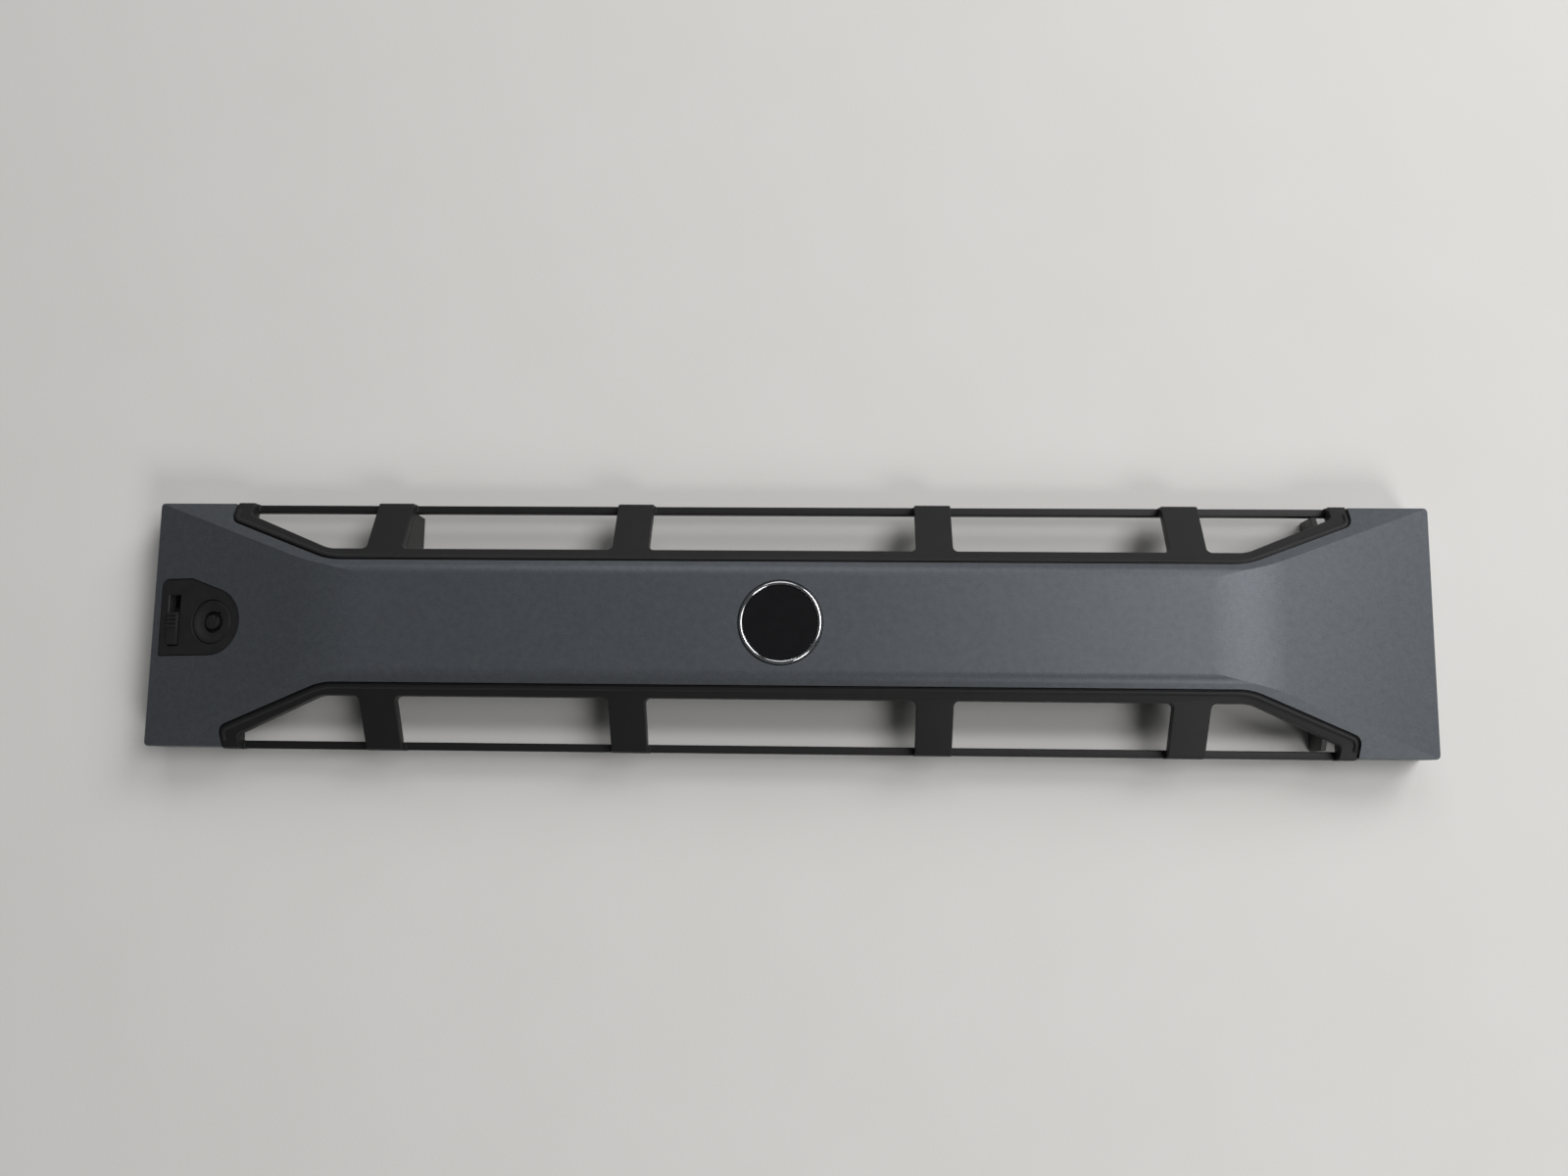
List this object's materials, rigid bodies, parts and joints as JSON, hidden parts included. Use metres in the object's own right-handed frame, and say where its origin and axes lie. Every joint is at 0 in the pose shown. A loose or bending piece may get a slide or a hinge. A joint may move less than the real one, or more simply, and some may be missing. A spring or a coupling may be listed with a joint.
{
  "type": "server bezel",
  "caption": "Two-unit rack server front bezel: hipped slate cover, slotted black grilles, chrome-ringed emblem disc, key lock and sprung release slide.",
  "frame": {"origin": "middle of the back plane, on which the rim of the end walls lies", "axes": "+X along the bezel, away from the lock; +Y towards its upper edge as mounted; +Z out of its face"},
  "size_m": [0.446, 0.0876, 0.0321],
  "materials": {
    "cover": "satin slate metallic paint",
    "grille": "fine-textured satin black",
    "frame": "plain black moulding",
    "chrome": "polished",
    "emblem": "gloss black",
    "pad": "foam tape",
    "lock_black": "black plated",
    "steel": "zinc plated"
  },
  "bodies": {
    "bezel": {"front_cover": "cover", "upper_grille": "grille", "lower_grille": "grille", "partition": "frame", "backing_frame": "frame", "frame_screws": "steel", "emblem_ring": "chrome", "emblem_disc": "emblem", "emblem_pad": "pad", "lock_escutcheon": "frame", "lock_barrel": "lock_black", "lock_nut": "steel", "latch_spring": "steel", "latch_guide": "frame", "guide_screws": "steel", "hook_bracket": "steel", "bracket_screws": "steel"},
    "latch": {"release_slide": "frame", "latch_plate": "steel", "slide_screw": "steel"},
    "lock": {"lock_plug": "lock_black", "lock_cam": "steel", "cam_screw": "steel"}
  },
  "joints": [
    {"name": "release_travel", "type": "slide", "parent": "bezel", "child": "latch", "axis": [0, 1, 0], "range_m": [0, 0.006], "stiffness_N_per_m": 300, "springref_m": -0.005, "deforming": ["latch_spring"]},
    {"name": "lock_turn", "type": "hinge", "parent": "bezel", "child": "lock", "pos_m": [-0.1997, 0, 0.02111], "axis": [0.2339, 0, -0.9723], "range_deg": [-90, 0]}
  ]
}
